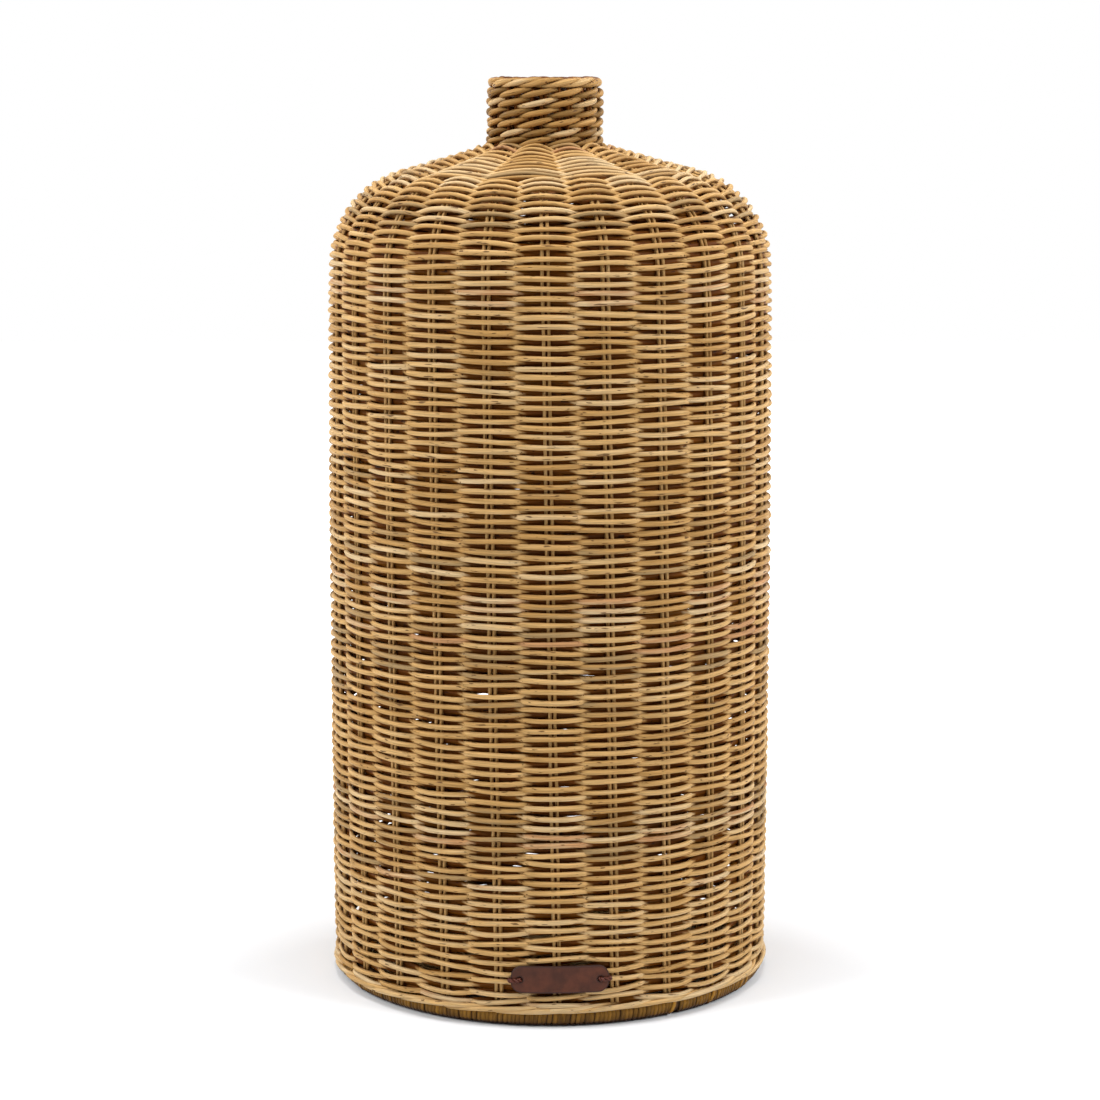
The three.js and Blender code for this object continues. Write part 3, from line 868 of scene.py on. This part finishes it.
class VASE_OT_twine_neck(bpy.types.Operator):
    """Twine the neck's rows round the stakes and close it with the rim"""

    bl_idname = "vase.twine_neck"
    bl_label = "Twine Neck"

    def execute(self, context):
        sizes, material = context.scene.vase_sizes, dark_cane(context.scene.vase_finish)
        line = WallLine(sizes)
        rng = np.random.default_rng(51)
        groups = sizes.stake_pairs // 2
        turns = groups // 2
        swing = (sizes.neck_strand + sizes.stake) / 2
        strands = []
        for row in range(sizes.neck_rows):
            height = NECK_HIGH.z - sizes.neck_strand * 0.95 - row * sizes.neck_pitch
            phase = math.radians(40) + rng.normal(0, 0.12)
            strands += rope(
                line, rng, line.at_height(height), turns=turns, plies=2, swing=swing,
                lift=sizes.neck_pitch * 0.35, thick=sizes.neck_strand, phase=phase, linger=0.45,
                shade=-0.28,
            )
        piece = rods("neck_twining", strands, 10, material)
        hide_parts("neck_twining_outer", "neck_twining_inner")
        centre = line.at_height(RIM_HIGH.z - sizes.neck_strand)
        # The rim's hidden spans take only a third of the painted shade, so that its top isn't painted
        # dark.
        border = rope(
            line, rng, centre, turns=5, plies=3, swing=sizes.neck_strand * 0.5,
            lift=sizes.neck_strand * 0.47, thick=sizes.neck_strand * 1.04, phase=0.4, linger=0.2,
            shade=-0.15, painted_shade=0.35,
        )
        piece = rods("rim_border_rope", border, 10, material)
        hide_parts("rim_border")
        return {"FINISHED"}


class VASE_OT_weave_wale(bpy.types.Operator):
    """Weave the wale, three long strands that go round together at the lower edge"""

    bl_idname = "vase.weave_wale"
    bl_label = "Weave Wale"

    def execute(self, context):
        sizes, material = context.scene.vase_sizes, straw_rattan(context.scene.vase_finish)
        line = WallLine(sizes)
        rng = np.random.default_rng(61)
        height = WALE_LOW.z + sizes.strand * 0.65
        turns = sizes.stake_pairs // 3
        strands = rope(
            line, rng, height, turns=turns, plies=3, swing=line.swing * 1.25, lift=sizes.strand * 0.5,
            thick=sizes.strand * 1.06, phase=0.0, linger=0.5, shade=-0.14, settle=sizes,
        )
        piece = rods("bottom_wale_rods", strands, 8, material)
        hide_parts("bottom_wale")
        return {"FINISHED"}


class VASE_OT_bind_foot(bpy.types.Operator):
    """Bind the foot ring with close laps of flat peel, with a few open joins"""

    bl_idname = "vase.bind_foot"
    bl_label = "Bind Foot"

    def execute(self, context):
        sizes, finish = context.scene.vase_sizes, context.scene.vase_finish
        rng = np.random.default_rng(71)
        half = sizes.peel_thickness / 2
        deep = (BINDING_HIGH.x - HOOP_HIGH.x) + (HOOP_HIGH.z - HOOP_LOW.z) / 2
        ring = BINDING_HIGH.x - deep
        count = int(2 * math.pi * ring / sizes.peel_width)
        gaping = rng.uniform(size=count) < GAPING_SHARE
        joins = np.where(gaping, rng.uniform(0.22, 0.42, count), rng.uniform(0, 0.03, count))
        # The missing lap leaves a join one and a half laps wide.
        joins[int(count * sizes.worn_lap / (2 * math.pi))] = 1.5
        places = np.cumsum(1 + joins)
        places = 2 * math.pi * places / places[-1]
        lashed = rng.uniform(size=count) < LASHED_SHARE
        around = np.linspace(0, 2 * math.pi, 13)
        # The laps are a little squarer underneath, where the vase stands on them.
        square = np.where(np.sin(around) < 0, 0.9, 1.0)
        height = np.sign(np.sin(around)) * np.abs(np.sin(around)) ** square
        aside = np.sign(np.cos(around)) * np.abs(np.cos(around)) ** square
        rise = np.where(height > 0, BASE_LOW.z - deep - half * 2, deep - half)
        laps = []
        for place, lashing in zip(places, lashed):
            slant = rng.normal(0.25, 0.12) + 0.7 * lashing
            azimuth = place + sizes.peel_width / ring * slant * np.sin(around)
            r = ring + (deep - half) * aside * rng.normal(1, 0.006) + 0.0004 * lashing
            sine, cosine = np.sin(azimuth), np.cos(azimuth)
            points = np.stack([r * sine, -r * cosine, deep + rise * height], 1)
            outward = np.stack([np.cos(around) * sine, -np.cos(around) * cosine, np.sin(around)], 1)
            points[-1] = points[0]
            # The lowest 4 mm of peel are painted darker, and the lowest 3 mm take the full painted
            # shade, as painted shadow where the ring stands on the floor.
            wear_and_shade = np.clip(1 - points[:, 2] / 0.004, 0, 1)
            level = 0.2 - 2.2 * np.clip(1 - points[:, 2] / 0.003, 0, 1)
            tone = rng.normal(0.3, 0.14) + 0.5 * lashing - 1.2 * wear_and_shade
            grain = rng.uniform(0, ANY_GRAIN)
            half_width = sizes.peel_width * 0.58
            lap = Strand(points, outward, half, half_width, tone, level, closed=True, start=grain)
            laps.append(lap)
        piece = rods("foot_peel_laps", laps, 6, rattan_peel(finish))
        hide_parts("hoop_binding")
        hoop = bpy.data.objects["foot_hoop"]
        hoop.material_slots[0].material = rattan_pole(finish)
        return {"FINISHED"}


class VASE_OT_weave_base(bpy.types.Operator):
    """Weave the floor of the vase over spokes that spread from a crossed middle"""

    bl_idname = "vase.weave_base"
    bl_label = "Weave Base"

    def execute(self, context):
        sizes, finish = context.scene.vase_sizes, context.scene.vase_finish
        rng = np.random.default_rng(81)
        level = (BASE_LOW.z + BASE_HIGH.z) / 2
        thick = (BASE_HIGH.z - BASE_LOW.z) / 3
        edge = BASE_HIGH.x - 2 * thick
        spokes = []
        for number in range(sizes.stake_pairs):
            azimuth = 2 * math.pi * number / sizes.stake_pairs + sizes.twist_foot
            r = np.linspace(thick, edge, 20)
            z = np.full(len(r), level)
            points = np.stack([r * math.sin(azimuth), -r * math.cos(azimuth), z], 1)
            upward = np.tile((0.0, 0.0, 1.0), (len(r), 1))
            tone = rng.normal(0.5, 0.15)
            grain = rng.uniform(0, ANY_GRAIN)
            spokes.append(Strand(points, upward, thick / 2, thick / 2, tone, 0.3, start=grain))
        rounds = []
        pitch = thick * 1.32
        # Out to 46 mm the rounds take the spokes two at a time.
        zones = ((0.010, 0.046, sizes.stake_pairs // 2), (0.048, edge, sizes.stake_pairs))
        for inner, outer, stakes in zones:
            for weaver in (0, 1):
                spans = int((outer - inner - weaver * pitch) / (2 * pitch) * stakes)
                steps = np.linspace(0, spans, spans * 6 + 1)
                azimuth = steps * 2 * math.pi / stakes + sizes.twist_foot
                r = inner + weaver * pitch + 2 * pitch * steps / stakes
                r = r + ripple(rng, azimuth, (1.7, 5.3), (0.0001, 0.0001))
                z = level - thick * 0.98 * np.cos(math.pi * (steps + weaver))
                points = np.stack([r * np.sin(azimuth), -r * np.cos(azimuth), z], 1)
                upward = np.tile((0.0, 0.0, 1.0), (len(r), 1))
                tone = 0.5 + ripple(rng, azimuth, (0.23, 0.71), (0.2, 0.12))
                grain = rng.uniform(0, ANY_GRAIN)
                rounds.append(Strand(points, upward, thick / 2, thick * 0.6, tone, 0.3, start=grain))
        piece = rods("base_rounds", rounds, 6, straw_rattan(finish))
        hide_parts("base_weave")
        piece = rods("base_spokes", spokes, 6, stake_rattan(finish))
        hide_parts("base_weave")
        return {"FINISHED"}


class VASE_OT_cut_label(bpy.types.Operator):
    """Cut the leather label, punch its two holes, round its edges and bend it to the body"""

    bl_idname = "vase.cut_label"
    bl_label = "Cut Label"

    def execute(self, context):
        sizes, finish = context.scene.vase_sizes, context.scene.vase_finish
        half_length, half_height = sizes.label_length / 2, sizes.label_height / 2
        hole_at = half_length - sizes.hole_inset
        burnished = 0.0012
        rounding = 0.0003
        bm = bmesh.new()
        plate = Matrix.Diagonal((half_length, half_height, 1, 1))
        bmesh.ops.create_grid(bm, x_segments=1, y_segments=1, size=1.0, matrix=plate)
        bmesh.ops.bevel(
            bm, geom=bm.verts[:], affect="VERTICES", offset=sizes.label_corner, segments=7, profile=0.5,
            material=-1,
        )
        bmesh.ops.delete(bm, geom=bm.faces[:], context="FACES_ONLY")
        for side in (-1, 1):
            place = Matrix.Translation((side * hole_at, 0, 0))
            bmesh.ops.create_circle(bm, segments=20, radius=sizes.label_hole / 2, matrix=place)
        bmesh.ops.triangle_fill(bm, edges=bm.edges[:], use_beauty=True, normal=(0, 0, 1))
        bmesh.ops.inset_region(
            bm, faces=bm.faces[:], thickness=burnished, use_boundary=True, use_even_offset=True
        )
        for place in np.linspace(-half_length, half_length, 26)[1:-1]:
            everything = bm.verts[:] + bm.edges[:] + bm.faces[:]
            bmesh.ops.bisect_plane(
                bm, geom=everything, plane_co=(place, 0, 0), plane_no=(1, 0, 0), dist=1e-6
            )
        bmesh.ops.recalc_face_normals(bm, faces=bm.faces)
        bmesh.ops.solidify(bm, geom=bm.faces[:], thickness=sizes.label_thickness)
        bmesh.ops.recalc_face_normals(bm, faces=bm.faces)
        rims = [edge for edge in bm.edges if edge.is_manifold and edge.calc_face_angle() > 1.2]
        bmesh.ops.bevel(
            bm, geom=rims, affect="EDGES", offset=rounding, segments=2, profile=0.5, material=-1,
            clamp_overlap=True,
        )
        mesh = bpy.data.meshes.new("label_leather")
        bm.to_mesh(mesh)
        bm.free()
        flat = np.empty(len(mesh.vertices) * 3, np.float32)
        mesh.vertices.foreach_get("co", flat)
        flat = flat.reshape(-1, 3)
        depth = flat[:, 2] - flat[:, 2].min()
        corner = sizes.label_corner
        past = np.abs(flat[:, :2]) - (half_length - corner, half_height - corner)
        border = np.linalg.norm(np.maximum(past, 0), axis=1) + np.minimum(past.max(1), 0) - corner
        hole = sizes.label_hole / 2 - np.hypot(np.abs(flat[:, 0]) - hole_at, flat[:, 1])
        rim = np.clip(1 + np.maximum(border, hole) / burnished, 0, 1)
        back = -LABEL_LOW.y - sizes.label_thickness
        azimuth = sizes.label_azimuth + flat[:, 0] / (back + sizes.label_thickness / 2)
        r = back + depth
        level = (LABEL_LOW.z + LABEL_HIGH.z) / 2 + flat[:, 1]
        bent = np.stack([r * np.sin(azimuth), -r * np.cos(azimuth), level], 1).astype(np.float32)
        mesh.vertices.foreach_set("co", bent.ravel())
        mesh.attributes.new("edge", "FLOAT", "POINT").data.foreach_set("value", rim.astype(np.float32))
        piece = new_piece("label_leather", mesh, tanned_leather(finish))
        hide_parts("leather_label")
        return {"FINISHED"}


class VASE_OT_tie_thongs(bpy.types.Operator):
    """Tie the label with a twisted thong through each hole"""

    bl_idname = "vase.tie_thongs"
    bl_label = "Tie Thongs"

    def execute(self, context):
        sizes, material = context.scene.vase_sizes, twisted_thong(context.scene.vase_finish)
        front = -LABEL_LOW.y
        level = (LABEL_LOW.z + LABEL_HIGH.z) / 2
        for side, name in ((-1, "left"), (1, "right")):
            hole = side * (sizes.label_length / 2 - sizes.hole_inset)
            outer = side * (sizes.label_length / 2 + sizes.thong * 0.9)
            stops = np.linspace(0, 1, 6)
            share = np.linspace(0, 1, 49)
            # Out of the hole, over the label's end and back into the weave.
            past_hole, before_end = hole + side * 0.0015, outer - side * 0.001
            reach = np.interp(share, stops, [hole, hole, past_hole, before_end, outer, outer])
            behind, crest, fall = -sizes.label_thickness * 1.6, sizes.thong * 0.8, sizes.thong * 0.7
            proud = np.interp(share, stops, [behind, 0.0, crest, fall, -0.001, -0.0045])
            soft = np.ones(7) / 7
            reach = np.convolve(np.pad(reach, 3, mode="edge"), soft, mode="valid")
            proud = np.convolve(np.pad(proud, 3, mode="edge"), soft, mode="valid")
            azimuth = sizes.label_azimuth + reach / front
            r = front + proud
            # The left thong hangs lower than the right one.
            drop = -0.0011 * share if side < 0 else -0.0004 * share
            path = np.stack([r * np.sin(azimuth), -r * np.cos(azimuth), level + drop], 1)
            run = unit(np.gradient(path, axis=0))
            rail = np.tile((0.0, 0.0, 1.0), (len(share), 1))
            rail = unit(rail - run * (rail * run).sum(1, keepdims=True))
            cross = np.cross(run, rail)
            plies = []
            for ply in (0, 1):
                twist = (share * 3.2 + ply / 2)[:, None] * 2 * math.pi
                offset = rail * np.cos(twist) + cross * np.sin(twist)
                points = path + offset * sizes.thong * 0.5
                plies.append(Strand(points, offset, sizes.thong / 2, sizes.thong / 2, 0.5, 1.0))
            piece = rods(f"thong_{name}", plies, 8, material)
            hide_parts(f"label_thong_{name}")
        return {"FINISHED"}


def add_lamp(scene, name, place, aim_height, size, watts):
    """A soft square lamp that points at a height on the vase's axis."""
    light = bpy.data.lights.new(name, "AREA")
    light.shape = "SQUARE"
    light.size = size
    light.energy = watts
    lamp = bpy.data.objects.new(name, light)
    lamp.location = place
    beam = Vector((0.0, 0.0, aim_height)) - Vector(place)
    lamp.rotation_euler = beam.to_track_quat("-Z", "Y").to_euler()
    scene.collection.objects.link(lamp)


class VASE_OT_set_stage(bpy.types.Operator):
    """Set the floor, the white surround, the soft lamps and the camera"""

    bl_idname = "vase.set_stage"
    bl_label = "Set Stage"

    def execute(self, context):
        scene, finish = context.scene, context.scene.vase_finish
        bm = bmesh.new()
        bmesh.ops.create_grid(bm, x_segments=1, y_segments=1, size=4.0)
        mesh = bpy.data.meshes.new("floor")
        bm.to_mesh(mesh)
        bm.free()
        mesh.materials.append(painted_floor(finish))
        floor = bpy.data.objects.new("floor", mesh)
        scene.collection.objects.link(floor)
        surround(scene)
        sides = ((-1, "left"), (1, "right"))
        add_lamp(scene, "lamp_top", (0.0, -0.2, 2.4), aim_height=0.4, size=1.0, watts=29.5)
        for side, name in sides:
            place = (side * 1.85, -0.75, 1.5)
            add_lamp(scene, f"lamp_front_{name}", place, aim_height=0.25, size=1.2, watts=41.0)
        for side, name in sides:
            place = (side * 1.5, 1.1, 1.8)
            add_lamp(scene, f"lamp_back_{name}", place, aim_height=0.3, size=1.2, watts=22.0)
        lens = bpy.data.cameras.new("camera")
        lens.lens = 97
        lens.sensor_width = 36
        camera = bpy.data.objects.new("camera", lens)
        camera.location = (0.0, -1.678, 0.5161)
        camera.rotation_euler = (math.radians(90 - 9.2), 0, 0)
        scene.collection.objects.link(camera)
        scene.camera = camera
        scene.view_settings.view_transform = "Standard"
        return {"FINISHED"}


class VASE_PT_panel(bpy.types.Panel):
    """The vase's sizes, colours and steps"""

    bl_idname = "VASE_PT_panel"
    bl_label = "Rattan Vase"
    bl_space_type = "VIEW_3D"
    bl_region_type = "UI"
    bl_category = "Rattan Vase"

    def draw(self, context):
        for step in STEPS:
            self.layout.operator(step.bl_idname)
        for group in (context.scene.vase_sizes, context.scene.vase_finish):
            box = self.layout.box()
            for name in group.__annotations__:
                box.prop(group, name)


STEPS = (
    VASE_OT_weave_walls,
    VASE_OT_weave_crown,
    VASE_OT_set_stakes,
    VASE_OT_twine_neck,
    VASE_OT_weave_wale,
    VASE_OT_bind_foot,
    VASE_OT_weave_base,
    VASE_OT_cut_label,
    VASE_OT_tie_thongs,
    VASE_OT_set_stage,
)
CLASSES = (VaseSizes, VaseFinish, *STEPS, VASE_PT_panel)


def register():
    for cls in CLASSES:
        bpy.utils.register_class(cls)
    bpy.types.Scene.vase_sizes = bpy.props.PointerProperty(type=VaseSizes)
    bpy.types.Scene.vase_finish = bpy.props.PointerProperty(type=VaseFinish)


def unregister():
    del bpy.types.Scene.vase_finish
    del bpy.types.Scene.vase_sizes
    for cls in reversed(CLASSES):
        bpy.utils.unregister_class(cls)


def main():
    register()
    bpy.ops.vase.weave_walls()
    bpy.ops.vase.weave_crown()
    bpy.ops.vase.set_stakes()
    bpy.ops.vase.twine_neck()
    bpy.ops.vase.weave_wale()
    bpy.ops.vase.bind_foot()
    bpy.ops.vase.weave_base()
    bpy.ops.vase.cut_label()
    bpy.ops.vase.tie_thongs()
    bpy.ops.vase.set_stage()


if __name__ == "__main__":
    main()
